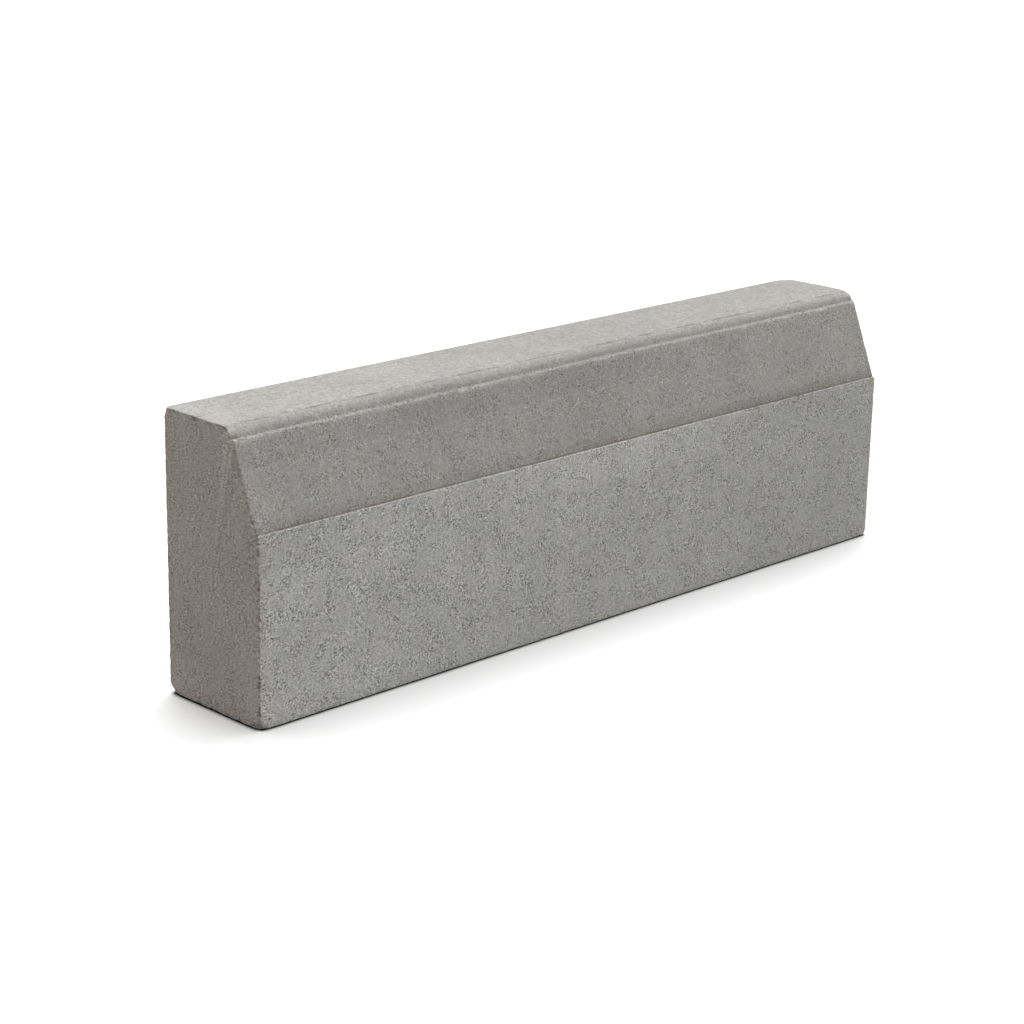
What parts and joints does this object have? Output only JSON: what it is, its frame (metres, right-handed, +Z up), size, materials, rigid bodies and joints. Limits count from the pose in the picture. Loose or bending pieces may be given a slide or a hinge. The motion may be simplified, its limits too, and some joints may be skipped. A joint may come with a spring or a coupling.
{
  "type": "concrete kerb stone",
  "caption": "Long concrete kerb stone with a battered road face, a small ledge below it and a rounded nose under a flat top; laid on its bed to edge a road or path.",
  "frame": {"origin": "middle of the bed, under the centre of the stone's box", "axes": "+X along the kerb, to the right as seen from the road; +Y from the road face to the back; +Z up from the bed"},
  "size_m": [0.8, 0.12, 0.25],
  "materials": {
    "concrete": "dry pressed concrete, matt and open-grained on the mould-formed faces, closer and smoother on the pressed road face and top"
  },
  "bodies": {
    "root": {"kerb_stone": "concrete"}
  },
  "joints": []
}
